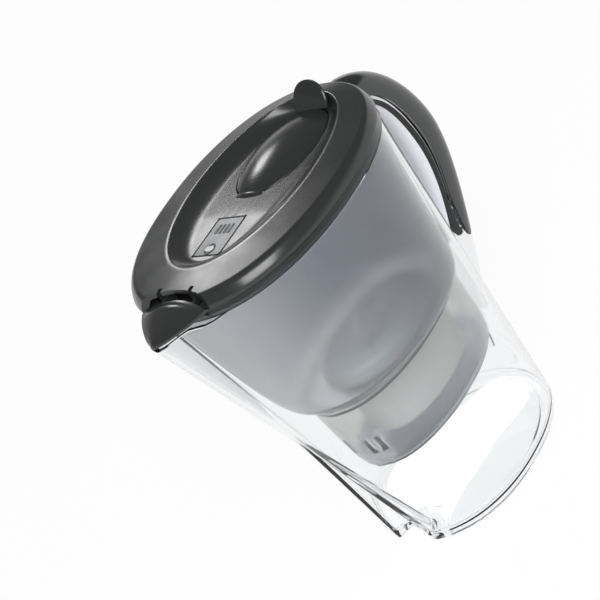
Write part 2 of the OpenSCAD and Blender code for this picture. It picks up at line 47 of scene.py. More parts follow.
frameShift = (mediaLow.x + mediaHigh.x) / 2 / mm - wellMiddle   # jug's axis in the shared frame
print("frame loaded:", len(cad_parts), "nodes, jug axis at", round(frameShift, 2), "mm")


cameraPlace = {
    "azimuth": -36.0,            # degrees, the spout side turned a little to the left
    "elevation": 29.96,
    "roll": 37.63,               # the pitcher leans into its pour
    "distance": 1.2,             # metres
    "aimHeight": 130.0,          # mm above the table
    "focal": 1963.6,             # in pixels of the picture
    "picture": 600,              # pixels each way
    "aimPixel": (357.7, 323.4),  # where the aim point lies in the picture
    "sensor": 36,                # mm wide
}


def makeCamera(place):
    azimuth, elevation, roll = (math.radians(place[key]) for key in ("azimuth", "elevation", "roll"))
    back = Vector((math.sin(azimuth) * math.cos(elevation), -math.cos(azimuth) * math.cos(elevation),
                   math.sin(elevation)))
    right = Vector((math.cos(azimuth), math.sin(azimuth), 0))
    up = back.cross(right)
    camera = bpy.data.objects.new("camera", bpy.data.cameras.new("camera"))
    bpy.context.scene.collection.objects.link(camera)
    xAxis = right * math.cos(roll) - up * math.sin(roll)
    yAxis = right * math.sin(roll) + up * math.cos(roll)
    camera.matrix_world = Matrix((xAxis, yAxis, back)).transposed().to_4x4()
    camera.location = Vector((frameShift * mm, 0, place["aimHeight"] * mm)) + back * place["distance"]
    half = place["picture"] / 2
    camera.data.sensor_width = place["sensor"]
    camera.data.lens = place["focal"] / place["picture"] * place["sensor"]
    camera.data.shift_x = (half - place["aimPixel"][0]) / place["picture"]
    camera.data.shift_y = (place["aimPixel"][1] - half) / place["picture"]
    bpy.context.scene.camera = camera


makeCamera(cameraPlace)
print("camera set")


# every piece below is drawn in mm from the jug's axis
def mix(p, q, t):
    return p + (q - p) * t


def clamp01(t):
    return max(0.0, min(1.0, t))


def smooth(t):
    t = clamp01(t)
    return t * t * (3 - 2 * t)


def signedPower(value, power):
    return math.copysign(abs(value) ** power, value)


def steps(low, high, count):
    return [mix(low, high, k / count) for k in range(count + 1)]


def bezier(points, t):
    weights = ((1 - t) ** 3, 3 * t * (1 - t) ** 2, 3 * t * t * (1 - t), t ** 3)
    return sum((w * Vector(p) for w, p in zip(weights, points)), Vector())


ovalPower = 2.2                                   # 2 is an ellipse


def oval(middle, halfLong, halfWide, count, power=ovalPower):
    ring = []
    for i in range(count):
        angle = 2 * math.pi * i / count
        ring.append((middle + halfLong * signedPower(math.cos(angle), 2 / power),
                     halfWide * signedPower(math.sin(angle), 2 / power)))
    return ring


def ovalRing(middle, halfLong, halfWide, z, count, power=ovalPower):
    return [(x, y, z) for x, y in oval(middle, halfLong, halfWide, count, power)]


def meshFrom(name, points, faces):
    mesh = bpy.data.meshes.new(name)
    mesh.from_pydata([((x + frameShift) * mm, y * mm, z * mm) for x, y, z in points], [], faces)
    mesh.validate()
    piece = bpy.data.objects.new(name, mesh)
    bpy.context.scene.collection.objects.link(piece)
    return piece


def skin(name, first, rings, last):               # a closed wall over rings, from one centre point to another
    count = len(rings[0])
    points = [tuple(first)] + [tuple(p) for ring in rings for p in ring] + [tuple(last)]
    end = len(points) - 1
    faces = [(0, 1 + (i + 1) % count, 1 + i) for i in range(count)]
    for k in range(len(rings) - 1):
        low = 1 + k * count
        for i in range(count):
            j = (i + 1) % count
            faces.append((low + i, low + j, low + count + j, low + count + i))
    faces += [(end, end - count + i, end - count + (i + 1) % count) for i in range(count)]
    return meshFrom(name, points, faces)


def block(name, low, high):
    x, y, z = zip(low, high)
    points = [(x[i], y[j], z[k]) for k in (0, 1) for j in (0, 1) for i in (0, 1)]
    faces = [(0, 2, 3, 1), (4, 5, 7, 6), (0, 1, 5, 4), (2, 6, 7, 3), (0, 4, 6, 2), (1, 3, 7, 5)]
    return meshFrom(name, points, faces)


def prism(name, outline, z0, z1):                 # outline counter-clockwise from above
    count = len(outline)
    points = [(x, y, z) for z in (z0, z1) for x, y in outline]
    faces = [tuple(reversed(range(count))), tuple(range(count, 2 * count))]
    faces += [(i, (i + 1) % count, count + (i + 1) % count, count + i) for i in range(count)]
    return meshFrom(name, points, faces)


def rodY(name, x, z, radius, y0, y1, sides=32):   # a rod along Y
    ring = [(x + radius * math.cos(2 * math.pi * i / sides), z + radius * math.sin(2 * math.pi * i / sides))
            for i in range(sides)]
    points = [(px, y, pz) for y in (y0, y1) for px, pz in ring]
    faces = [tuple(range(sides)), tuple(reversed(range(sides, 2 * sides)))]
    faces += [(i, sides + i, sides + (i + 1) % sides, (i + 1) % sides) for i in range(sides)]
    return meshFrom(name, points, faces)


def circleOutline(x, y, radius, count):
    return [(x + radius * math.cos(2 * math.pi * i / count), y + radius * math.sin(2 * math.pi * i / count))
            for i in range(count)]


def turnedY(name, x, z, profile, sides=48):       # turned about a line along Y: pairs of place and radius
    rings = [[(x + r * math.cos(2 * math.pi * i / sides), y, z + r * math.sin(2 * math.pi * i / sides))
              for i in range(sides)] for y, r in profile]
    return skin(name, (x, profile[-1][0], z), rings[::-1], (x, profile[0][0], z))


def flatten(piece):                               # modifiers into the mesh
    graph = bpy.context.evaluated_depsgraph_get()
    mesh = bpy.data.meshes.new_from_object(piece.evaluated_get(graph))
    piece.modifiers.clear()
    old, piece.data = piece.data, mesh
    bpy.data.meshes.remove(old)
    mesh.name = piece.name
    return piece


def combine(piece, tools, operation):             # cut or join closed solids, then drop the tools
    for tool in tools:
        change = piece.modifiers.new(operation.lower(), "BOOLEAN")
        change.operation = operation
        change.solver = "EXACT"
        change.object = tool
    flatten(piece)
    for tool in tools:
        bpy.data.objects.remove(tool)
    return piece


def softShade(piece, angle):                      # smooth but for edges sharper than this
    piece.data.polygons.foreach_set("use_smooth", [True] * len(piece.data.polygons))
    piece.data.set_sharp_from_angle(angle=math.radians(angle))


def finishPiece(piece, body, material, replaced=(), angle=32):
    softShade(piece, angle)
    piece.data.materials.clear()
    piece.data.materials.append(material)
    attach(piece, body)
    if replaced:
        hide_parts(*replaced)
    return piece


def hexColour(code):                            # sRGB hex to the linear values that the shaders take
    channels = [int(code[i:i + 2], 16) / 255 for i in (1, 3, 5)]
    return tuple(c / 12.92 if c <= 0.04045 else ((c + 0.055) / 1.055) ** 2.4 for c in channels) + (1.0,)


def addNode(tree, kind, inputs=None, **settings):
    node = tree.nodes.new(kind)
    for name, value in settings.items():
        setattr(node, name, value)
    for name, value in (inputs or {}).items():
        if isinstance(value, bpy.types.NodeSocket):
            tree.links.new(value, node.inputs[name])
        else:
            node.inputs[name].default_value = value
    return node


def newMaterial(name):
    material = bpy.data.materials.new(name)
    material.use_nodes = True
    material.node_tree.nodes.clear()
    return material, material.node_tree


def objectNoise(tree, sizeMm, detail=2.0, roughness=0.5):
    place = addNode(tree, "ShaderNodeTexCoord")
    return addNode(tree, "ShaderNodeTexNoise", {"Vector": place.outputs["Object"], "Scale": 1 / (sizeMm * mm),
                                                "Detail": detail, "Roughness": roughness})


def between(tree, factor, low, high):             # a value that follows a pattern from low to high
    return addNode(tree, "ShaderNodeMapRange", {"Value": factor, "From Min": 0.3, "From Max": 0.7,
                                                "To Min": low, "To Max": high}).outputs["Result"]


def blendColour(tree, factor, first, second):
    node = addNode(tree, "ShaderNodeMix", data_type="RGBA")
    for socket in node.inputs:
        if socket.name == "Factor" and socket.type == "VALUE":
            tree.links.new(factor, socket)
        elif socket.type == "RGBA" and socket.name in ("A", "B"):
            value = first if socket.name == "A" else second
            if isinstance(value, bpy.types.NodeSocket):
                tree.links.new(value, socket)
            else:
                socket.default_value = value
    return next(s for s in node.outputs if s.type == "RGBA")


def mouldedPlastic(name, look):
    material, tree = newMaterial(name)
    grain = objectNoise(tree, look["grainMm"], 3)
    cloud = objectNoise(tree, look["cloudMm"], 2)
    colour = blendColour(tree, cloud.outputs["Fac"], hexColour(look["colour"]), hexColour(look["shade"]))
    bump = addNode(tree, "ShaderNodeBump", {"Height": grain.outputs["Fac"], "Strength": look["bump"],
                                            "Distance": look["grainMm"] * mm * 0.3})
    roughness = between(tree, cloud.outputs["Fac"], look["roughness"] - 0.04, look["roughness"] + 0.04)
    shader = addNode(tree, "ShaderNodeBsdfPrincipled", {
        "Base Color": colour, "Roughness": roughness, "IOR": look["ior"], "Normal": bump.outputs["Normal"]})
    if look.get("coat"):
        shader.inputs["Coat Weight"].default_value = look["coat"]
        shader.inputs["Coat Roughness"].default_value = look["coatRoughness"]
    if look.get("metallic"):
        shader.inputs["Metallic"].default_value = look["metallic"]
    out = addNode(tree, "ShaderNodeOutputMaterial")
    tree.links.new(shader.outputs[0], out.inputs["Surface"])
    return material


def tintWithPaintedShade(tree, tintAndShade):                         # the grey tint by place, with painted shade and painted light laid into it
    place = addNode(tree, "ShaderNodeTexCoord")
    axes = addNode(tree, "ShaderNodeSeparateXYZ", {"Vector": place.outputs["Object"]})

    def ramp(axis, low, high):
        return addNode(tree, "ShaderNodeMapRange", {"Value": axes.outputs[axis], "From Min": low * mm,
                                                    "From Max": high * mm}, interpolation_type="SMOOTHSTEP")

    # painted shade: the tint darkens towards the handle side
    behind = ramp("X", tintAndShade["unshadedX"] + frameShift, tintAndShade["shadedX"] + frameShift).outputs["Result"]
    colour = blendColour(tree, behind, hexColour(tintAndShade["unshaded"]), hexColour(tintAndShade["shaded"]))
    footFade, wellFade, flangeFade = tintAndShade["fades"]
    # darker towards the bottom, and paler round the well as painted light
    foot = ramp("Z", tintAndShade["footTop"] - footFade, tintAndShade["footTop"]).outputs["Result"]
    well = blendColour(tree, foot, hexColour(tintAndShade["foot"]), hexColour(tintAndShade["well"]))
    above = ramp("Z", tintAndShade["wellTop"] - wellFade, tintAndShade["wellTop"]).outputs["Result"]
    colour = blendColour(tree, above, well, colour)
    # painted shade: darkest at the flange, where it sits under the lid
    rim = ramp("Z", tintAndShade["flangeLow"] - flangeFade, tintAndShade["flangeLow"]).outputs["Result"]
    return blendColour(tree, rim, colour, hexColour(tintAndShade["flange"]))


def clearPlastic(name, look):                     # see-through resin, tinted by the ray's path in the wall
    material, tree = newMaterial(name)
    flow = objectNoise(tree, look["flowMm"], 1)
    bump = addNode(tree, "ShaderNodeBump", {"Height": flow.outputs["Fac"], "Strength": look["flow"],
                                            "Distance": 0.001})
    colour = tintWithPaintedShade(tree, look["tintAndShade"]) if look.get("tintAndShade") else hexColour(look["colour"])
    shader = addNode(tree, "ShaderNodeBsdfPrincipled", {
        "Base Color": colour, "Roughness": look["roughness"], "IOR": look["ior"],
        "Transmission Weight": look["transmission"], "Normal": bump.outputs["Normal"]})
    letThrough = addNode(tree, "ShaderNodeBsdfTransparent", {"Color": hexColour(look["shadow"])})
    path = addNode(tree, "ShaderNodeLightPath")
    both = addNode(tree, "ShaderNodeMixShader", {0: path.outputs["Is Shadow Ray"], 1: shader.outputs[0],
                                                 2: letThrough.outputs[0]})
    out = addNode(tree, "ShaderNodeOutputMaterial")
    tree.links.new(both.outputs[0], out.inputs["Surface"])
    if look.get("density"):
        inside = addNode(tree, "ShaderNodeVolumeAbsorption", {"Color": hexColour(look["depthColour"]),
                                                              "Density": look["density"]})
        tree.links.new(inside.outputs[0], out.inputs["Volume"])
    return material


# polished styrene acrylonitrile: fully clear, with a blue-grey cast only where the wall is seen edge on
clearSan = clearPlastic("clear_san_polished", {
    "colour": "#fcfdfd", "roughness": 0.01, "ior": 1.5, "transmission": 1.0, "shadow": "#f0f2f4",
    "flowMm": 45, "flow": 0.02, "depthColour": "#9aa1b2", "density": 10})
# a pale frosted skin on the handle's inner face: a painted reflection standing in for the soft white sheen on
# that face
paintedSheenSan = clearPlastic("clear_san_painted_sheen", {
    "colour": "#f4f6fa", "roughness": 0.4, "ior": 1.5, "transmission": 0.2, "shadow": "#eceef2",
    "flowMm": 30, "flow": 0.02})
# smoky styrene: the same gloss with a grey tint, darker at the flange and behind as painted shade, paler
# round the well as painted light, and darker towards the bottom
smokySan = clearPlastic("smoky_san_tinted", {
    "roughness": 0.16, "ior": 1.5, "transmission": 1.0, "shadow": "#b4b8be",
    "flowMm": 30, "flow": 0.03,
    "tintAndShade": {"unshaded": "#dcdddf", "shaded": "#6b7284", "well": "#e6e6e5", "foot": "#8a909b", "flange": "#63666b",
            "unshadedX": -72.0, "shadedX": 58.0, "wellTop": 122.0, "footTop": 67.0, "flangeLow": 231.5,
            "fades": (9, 8, 1)}})                 # mm over which foot, well and flange turn
# graphite ABS, satin moulded: near black with a broad soft highlight and a fine tooth
graphiteAbs = mouldedPlastic("graphite_abs_satin", {
    "colour": "#2b2d2c", "shade": "#272928", "grainMm": 0.9, "cloudMm": 22, "bump": 0.002,
    "roughness": 0.22, "ior": 1.5})
# dark moulded inner parts of the lid, matt
innerAbs = mouldedPlastic("inner_abs_matt", {
    "colour": "#262827", "shade": "#212322", "grainMm": 0.8, "cloudMm": 18, "bump": 0.15,
    "roughness": 0.5, "ior": 1.5})
# dark glossy grip, moulded over the clear handle
glossGrip = mouldedPlastic("grip_san_dark_gloss", {
    "colour": "#232526", "shade": "#1f2122", "grainMm": 1.2, "cloudMm": 30, "bump": 0.03,
    "roughness": 0.14, "ior": 1.57, "coat": 0.3, "coatRoughness": 0.05})
# white polypropylene of the cartridge, satin, faintly warm
whitePolypropylene = mouldedPlastic("polypropylene_white_satin", {
    "colour": "#eeeeea", "shade": "#e6e6e1", "grainMm": 0.6, "cloudMm": 16, "bump": 0.12,
    "roughness": 0.38, "ior": 1.49})
# black carbon and white resin granules, matt and grainy
granuleMix = mouldedPlastic("carbon_resin_granules", {
    "colour": "#2a2928", "shade": "#c9c4b8", "grainMm": 0.6, "cloudMm": 2.4, "bump": 0.3,
    "roughness": 0.7, "ior": 1.5})
# dark bars of the reminder's display, printed
displayInk = mouldedPlastic("display_bars_dark", {
    "colour": "#2b2d2e", "shade": "#272929", "grainMm": 0.5, "cloudMm": 4, "bump": 0.02,
    "roughness": 0.4, "ior": 1.45})
# moulded silicone: soft dark grey without any gloss
siliconeSeal = mouldedPlastic("silicone_seal_matt", {
    "colour": "#46484a", "shade": "#3c3e40", "grainMm": 0.5, "cloudMm": 9, "bump": 0.2,
    "roughness": 0.62, "ior": 1.41})
# pressed steel with a nickel plating: bright and slightly warm
nickelSteel = mouldedPlastic("steel_nickel_bright", {
    "colour": "#c9c8c3", "shade": "#b9b8b3", "grainMm": 0.4, "cloudMm": 5, "bump": 0.1,
    "roughness": 0.22, "ior": 1.5, "metallic": 1.0})
# green lacquer over the board, half gloss
solderMask = mouldedPlastic("board_solder_mask", {
    "colour": "#1d5a38", "shade": "#184d30", "grainMm": 0.5, "cloudMm": 4, "bump": 0.15,
    "roughness": 0.3, "ior": 1.5})
# the display's own panel: even pale grey
displayGlass = mouldedPlastic("display_panel_satin", {
    "colour": "#8f9492", "shade": "#888d8b", "grainMm": 0.6, "cloudMm": 8, "bump": 0.02,
    "roughness": 0.5, "ior": 1.4})
# moulded ABS of the reset button: a pale satin dot
buttonPlastic = mouldedPlastic("button_abs_pale", {
    "colour": "#b4b8ba", "shade": "#aaaeb0", "grainMm": 0.4, "cloudMm": 5, "bump": 0.1,
    "roughness": 0.4, "ior": 1.5})
# thin polycarbonate over the display, satin and opaque grey here, so that it reads as one panel
windowPlastic = mouldedPlastic("window_polycarbonate_satin", {
    "colour": "#5c6163", "shade": "#565b5d", "grainMm": 0.8, "cloudMm": 12, "bump": 0.01,
    "roughness": 0.3, "ior": 1.4})
print("materials made")


jugShape = {
    "rim": 232.0, "baseHalf": (71.5, 60.0), "rimHalf": (93.2, 72.7), "wall": 2.3,
    "middle": (5, -3.9), "rootHalf": (24, 34), "floor": 5.2,   # pairs: at the base, at the rim
    "spoutReach": 120.0, "split": 119.4, "toeHalf": 15.4, "groove": 12.7,
    "splitX": -87.4, "toeX": -64.7, "bend": 0.16, "lip": (5.6, 2.9),
    "grooveSteps": 8, "flankSteps": 12, "sideSteps": 60, "levelGap": 5.0,
}


def jugOval(z):
    t = z / jugShape["rim"]
    (baseL, baseW), (rimL, rimW) = jugShape["baseHalf"], jugShape["rimHalf"]
    return mix(*jugShape["middle"], t ** 1.4), mix(baseL, rimL, t ** 1.35), mix(baseW, rimW, t ** 0.8)


def ridgeX(z):
    split = jugShape["split"]
    if z < split:
        return mix(jugShape["toeX"], jugShape["splitX"], z / split)
    return mix(jugShape["splitX"], -jugShape["spoutReach"], (z - split) / (jugShape["rim"] - split))


def jugPoint(stretch, share, z, inset):           # groove, flank or side of the outline, drawn in by inset
    middle, halfLong, halfWide = jugOval(z)
    halfLong, halfWide = halfLong - inset, halfWide - inset
    below = clamp01(1 - z / jugShape["split"])
    ridge = ridgeX(z) + 1.35 * inset
    root = mix(*jugShape["rootHalf"], (z / jugShape["rim"]) ** 2) - 0.4 * inset
    ridgeHalf = min(max(0.7, (jugShape["toeHalf"] + 0.9 * inset) * below), root - 1.5)
    if stretch == "groove":
        return ridge + jugShape["groove"] * below * (1 - share ** 3.6), share * ridgeHalf
    if stretch == "flank":
        k = jugShape["bend"]                      # how soft the ridge's edge is
        bend = (math.hypot(share, k) - k) / (math.hypot(1, k) - k)
        front = middle - halfLong * (1 - (root / halfWide) ** ovalPower) ** (1 / ovalPower)
        return mix(ridge, front, bend), mix(ridgeHalf, root, share)
    angle = (math.pi - math.asin((root / halfWide) ** (ovalPower / 2))) * (1 - share)
    return (middle + halfLong * signedPower(math.cos(angle), 2 / ovalPower),
            halfWide * signedPower(math.sin(angle), 2 / ovalPower))


jugColumns = ([("groove", s) for s in steps(0, 1, jugShape["grooveSteps"])]
              + [("flank", s) for s in steps(0, 1, jugShape["flankSteps"])[1:]]
              + [("side", s) for s in steps(0, 1, jugShape["sideSteps"])[1:]])


def lipHeight(stretch, share):                    # the pouring lip stands above the rim
    if stretch == "side":
        return 0.0
    share = 0.0 if stretch == "groove" else share
    rise, dip = jugShape["lip"]
    return max(0.0, rise * smooth((0.75 - share) / 0.3) - dip * (1 - share) ** 2)


def jugRing(z, inset, lipped=False):
    half = len(jugColumns) - 1
    ring = []
    for i in range(2 * half):
        stretch, share = jugColumns[min(i, 2 * half - i)]
        height = z + (lipHeight(stretch, share) if lipped else 0)
        x, y = jugPoint(stretch, share, height, inset)
        ring.append((x, y if i > half else -y, height))
    return ring


def jugWallRings():
    rim, wall = jugShape["rim"], jugShape["wall"]
    arc = [math.radians(a) for a in (0, 18, 36, 54, 72, 90)]
    foot = [jugRing(2, 10.5), jugRing(0.4, 9.3), jugRing(0, 8.6)]
    foot += [jugRing(3.6 * (1 - math.sin(a)), 3.2 * (1 - math.cos(a))) for a in reversed(arc)]
    levels = steps(3.6, rim - 8, int((rim - 11.6) / jugShape["levelGap"]))
    outer = [jugRing(z, 0) for z in levels[1:]]
    top = [jugRing(rim - 4, 0), jugRing(rim - 0.7, 0, True), jugRing(rim - 0.15, 0.3, True),
           jugRing(rim, 0.8, True), jugRing(rim, wall - 0.8, True), jugRing(rim - 0.15, wall - 0.3, True),
           jugRing(rim - 0.7, wall, True), jugRing(rim - 4, wall)]
    inner = [jugRing(z, wall) for z in reversed(levels[1:])]
    floor = [jugRing(jugShape["floor"] + 4.4 * (1 - math.sin(a)), wall + 4.4 * (1 - math.cos(a)))
             for a in arc]
    return foot + outer + top + inner + floor


def makeJug():
    middle = jugShape["middle"][0]
    piece = skin("jug_wall", (middle, 0, 2), jugWallRings(), (middle, 0, jugShape["floor"]))
    return finishPiece(piece, "jug", clearSan, ["jug_body"], 24)


makeJug()
print("jug made")


handleShape = {
    "outer": (((93, 0, 241.5), (118, 0, 242.5), (141.4, 0, 210), (142.8, 0, 176)),
              ((142.8, 0, 176), (143.9, 0, 142), (111, 0, 86), (76.9, 0, 28))),
    "inner": (((87.4, 0, 217), (102, 0, 220), (109, 0, 200), (108.5, 0, 172)),
              ((108.5, 0, 172), (108, 0, 140), (96, 0, 114), (79.2, 0, 90))),
    "halfWidth": 12.5, "gripWall": 2.6, "power": 2.35,
    "topStations": 8, "lowStations": 12, "gripEnd": 14.4,
    "gripHook": 1.1, "hookTurn": 70.0, "reach": 102.0,   # the grip runs further down on the two sides
    "around": 64, "perStation": 4, "rootHalf": 9.0,
}


def handleEdge(curves, k):
    top, low = handleShape["topStations"], handleShape["lowStations"]
    return bezier(curves[0], k / top) if k <= top else bezier(curves[1], (k - top) / low)


def handlePoint(k, angle, inset):                 # angle 0 is the outer edge and runs towards -Y
    outer, inner = handleEdge(handleShape["outer"], k), handleEdge(handleShape["inner"], k)
    arm = (outer - inner) / 2
    top, low = handleShape["topStations"], handleShape["lowStations"]
    wide = handleShape["halfWidth"]
    wide = mix(wide + 1.5, wide, smooth(k / top)) if k <= top else mix(wide, 6.5, smooth((k - top) / low))
    power = 2 / handleShape["power"]
    along = signedPower(math.cos(angle), power)
    point = (outer + inner) / 2 + arm.normalized() * (arm.length - inset) * along
    point.y -= (wide - inset) * signedPower(math.sin(angle), power)
    return point


def turnedBy(angle):                              # degrees from the outer edge, on either side
    return abs(math.degrees(angle if angle <= math.pi else angle - 2 * math.pi))


def gripReach(k):                                 # how far round the grip wraps, in degrees
    share = clamp01((handleShape["gripEnd"] - k) / 1.6) ** 0.6
    return mix(handleShape["hookTurn"], handleShape["reach"], share)


def frameInset(k, angle):                         # the clear handle is stepped in under the grip
    if k > handleShape["gripEnd"]:
        return 0.0
    return (handleShape["gripWall"] - 0.1) * smooth((gripReach(k) + 10 - turnedBy(angle)) / 8)


def bowed(k, angle):                              # stations near the grip's end bow down on the sides
    past = k - handleShape["gripEnd"]
    share = smooth((past + 2.2) / 2.2) if past < 0 else 1 - smooth(past / 3)
    return k + handleShape["gripHook"] * smooth(turnedBy(angle) / handleShape["hookTurn"]) * share


def makeHandleFrame():
    gripEnd = handleShape["gripEnd"]
    last = handleShape["topStations"] + handleShape["lowStations"]
    stations = steps(0, gripEnd, int(gripEnd * handleShape["perStation"]))
    stations += steps(gripEnd + 0.02, last, int((last - gripEnd) * handleShape["perStation"]))
    turns = [2 * math.pi * i / handleShape["around"] for i in range(handleShape["around"])]
    ends = [(handleEdge(handleShape["outer"], k) + handleEdge(handleShape["inner"], k)) / 2
            for k in (0, last)]
    piece = skin("handle_clear", ends[0],
                 [[handlePoint(bowed(k, a), a, frameInset(k, a)) for a in turns] for k in stations], ends[1])
    root = block("handle_root", (87.8, -handleShape["rootHalf"], 220), (91.5, handleShape["rootHalf"], 231.6))
    combine(piece, [root], "UNION")
    return finishPiece(piece, "jug", clearSan, ["handle_frame"], 28)


def makeGrip():
    arc = 30
    end = handleShape["gripEnd"]
    stations = steps(0, end - 0.5, 56) + [end - back for back in (0.32, 0.18, 0.08, 0.02)]
    rings = []
    for k in stations:
        reach = math.radians(gripReach(k))
        turns = steps(-reach, reach, arc)
        rings.append([handlePoint(bowed(k, a), a, 0) for a in turns]
                     + [handlePoint(bowed(k, a), a, handleShape["gripWall"]) for a in reversed(turns)])
    count = 2 * (arc + 1)
    points = [tuple(p) for ring in rings for p in ring]
    last = len(points) - count
    faces = []
    for i in range(arc):
        faces.append((i, count - 1 - i, count - 2 - i, i + 1))
        faces.append((last + i, last + i + 1, last + count - 2 - i, last + count - 1 - i))
    for k in range(len(rings) - 1):
        low = k * count
        for i in range(count):
            j = (i + 1) % count
            faces.append((low + i, low + j, low + count + j, low + count + i))
    return finishPiece(meshFrom("grip_shell", points, faces), "jug", glossGrip, ["handle_grip"], 40)


makeHandleFrame()
makeGrip()
print("handle made")


funnelShape = {
    "low": 57.5, "wall": 2.0, "count": 144, "top": 238.7, "under": 232.3, "outlet": 9.0,
    "flange": (-4.2, 94.0, 73.5), "neck": (89.8, 69.6), "corner": (90.3, 70.0), "mouth": (88, 67.6),
    "outline": ((57.5, 10.5, 59.6, 34.4), (58.7, 10.5, 62.4, 37), (62.5, 10.5, 64, 38.8), (90, 9, 66.5, 41.8),
                (112, 8, 68, 44), (117.4, 7.4, 68.8, 45.2), (119, 6.8, 70, 50), (123, 5, 72.8, 54.5),
                (131, 3.2, 75.2, 58.6), (148, 0.8, 78, 62), (190, -2.2, 84.2, 66.8), (225, -4, 89.4, 69.4)),
    "slotY": (-15, -9, 9, 15), "slotZ": (73, 86),
}


def funnelLevel(t):                               # the outline as one smooth curve through its levels
    table = [Vector(row) for row in funnelShape["outline"]]
    i = min(int(t), len(table) - 2)
    p = [table[max(0, min(len(table) - 1, i + n))] for n in (-1, 0, 1, 2)]
    s = t - i
    lengths = [max(1e-6, (p[n + 1] - p[n]).length) for n in range(3)]
    slope1 = ((p[1] - p[0]) / lengths[0] + (p[2] - p[1]) / lengths[1]) / 2 * lengths[1]
    slope2 = ((p[2] - p[1]) / lengths[1] + (p[3] - p[2]) / lengths[2]) / 2 * lengths[1]
    return (p[1] * (2 * s ** 3 - 3 * s ** 2 + 1) + slope1 * (s ** 3 - 2 * s ** 2 + s)
            + p[2] * (3 * s ** 2 - 2 * s ** 3) + slope2 * (s ** 3 - s ** 2))


def makeFunnel():
    count, wall, low = funnelShape["count"], funnelShape["wall"], funnelShape["low"]
    rows = len(funnelShape["outline"]) - 1
    outer, inner = [], []
    for t in steps(0, rows, rows * 5):
        z, middle, halfLong, halfWide = funnelLevel(t)
        outer.append(ovalRing(middle, halfLong, halfWide, max(low, z), count))
        if z >= low + 1:
            lift = 1.6 * smooth((128 - z) / 6)
            inner.append(ovalRing(middle, halfLong - wall, halfWide - wall, z + lift, count))
    middle, halfLong, halfWide = funnelShape["flange"]
    top, under = funnelShape["top"], funnelShape["under"]
    edge = [ovalRing(middle, *funnelShape["neck"], under - 1.2, count),
            ovalRing(middle, *funnelShape["corner"], under, count),
            ovalRing(middle, halfLong - 0.4, halfWide - 0.4, under, count),
            ovalRing(middle, halfLong, halfWide, under + 0.5, count),
            ovalRing(middle, halfLong, halfWide, top - 0.5, count),
            ovalRing(middle, halfLong - 0.4, halfWide - 0.4, top, count),
            ovalRing(middle, *funnelShape["mouth"], top, count)]
    piece = skin("funnel_bowl", (wellMiddle, 0, low), outer + edge + inner[::-1], (wellMiddle, 0, low + 2.8))
    tools = [prism("outlet_cut", circleOutline(wellMiddle, 0, funnelShape["outlet"], 64), low - 1, low + 5)]
    zLow, zHigh = funnelShape["slotZ"]
    tools += [block("slot_cut", (-60, y - 1, zLow), (-44, y + 1, zHigh)) for y in funnelShape["slotY"]]
    combine(piece, tools, "DIFFERENCE")
    return finishPiece(piece, "funnel", smokySan, ["funnel"], 30)


makeFunnel()
print("funnel made")


lidShape = {
    "seam": 239.0, "half": (95.2, 74.7), "rise": 10.8, "wall": 2.2, "dish": 8.6, "middle": -4.4,
    "crest": (4.6, 74.2, 49.6), "floor": (8.5, 67.5, 30.0), "memoDrop": 4.9, "slope": (-22.0, 72.0),
    "count": 192, "memoX": -40.0, "edgeShare": 0.22, "edgeRise": 0.72,
    "spoutCut": (70.0, -87.9, 0.25), "spoutHinge": (-84.0, 241.0), "armY": 13.5, "armHalf": 1.4,
    "fillHinge": (-4.4, 242.5), "knuckle": (10.6, 3.2, 12.0), "pin": 1.4, "pinGap": 0.06,
    "flapGap": 0.7, "armGap": 0.3, "memoHalf": (16.3, 12.3), "cutSpan": (225, 262),
}
flapShape = {
    "middle": 33.0, "half": (39.5, 26.5), "crown": 8.0, "under": 1.9, "count": 128,
    "tabRadius": 13.8, "tabRise": 7.6, "tabLean": 28.0, "tabFoot": 2.6, "tabPlace": (69.2, 240),
}


def floorZ(x):                                    # the dish: a front shelf, then a slope under the flap
    start, end = lidShape["slope"]
    drop = mix(lidShape["memoDrop"], lidShape["dish"], clamp01((x - start) / (end - start)))
    return lidShape["seam"] + lidShape["rise"] - drop


def dishRing(q, drop):
    crestZ = lidShape["seam"] + lidShape["rise"]
    shape = [mix(c, f, q) for c, f in zip(lidShape["crest"], lidShape["floor"])]
    return [(x, y, mix(crestZ, floorZ(x), 1 - (1 - q) ** 2) - drop)
            for x, y in oval(*shape, lidShape["count"], 2)]


def floorRing(share, drop):
    middle, halfLong, halfWide = lidShape["floor"]
    outline = oval(middle, halfLong * share, halfWide * share, lidShape["count"], 2)
    return [(x, y, floorZ(x) - drop) for x, y in outline]


def shoulderRing(share, inset):
    crestMiddle, crestLong, crestWide = lidShape["crest"]
    halfLong, halfWide = lidShape["half"]
    crestZ = lidShape["seam"] + lidShape["rise"]
    edge = 1 - (1 - min(1, share / lidShape["edgeShare"])) ** 2.5     # a rounded edge, then a slight slope
    z = mix(lidShape["seam"] + 1.6, crestZ, mix(share, edge, lidShape["edgeRise"]))
    z -= lidShape["wall"] if inset else 0
    drawn = inset * (1 - share)
    return ovalRing(mix(lidShape["middle"], crestMiddle, share), mix(halfLong, crestLong, share) - drawn,
                    mix(halfWide, crestWide, share) - drawn, z, lidShape["count"], mix(ovalPower, 2, share))


def knuckleProfile(room):                         # the barrel of the filling flap's knuckle
    half, radius, taper = lidShape["knuckle"]
    span = half + min(room, 0.4)
    return [(y, radius * math.sqrt(1 - (min(half, abs(y)) / taper) ** 2) + room)
            for y in steps(-span, span, 24)]


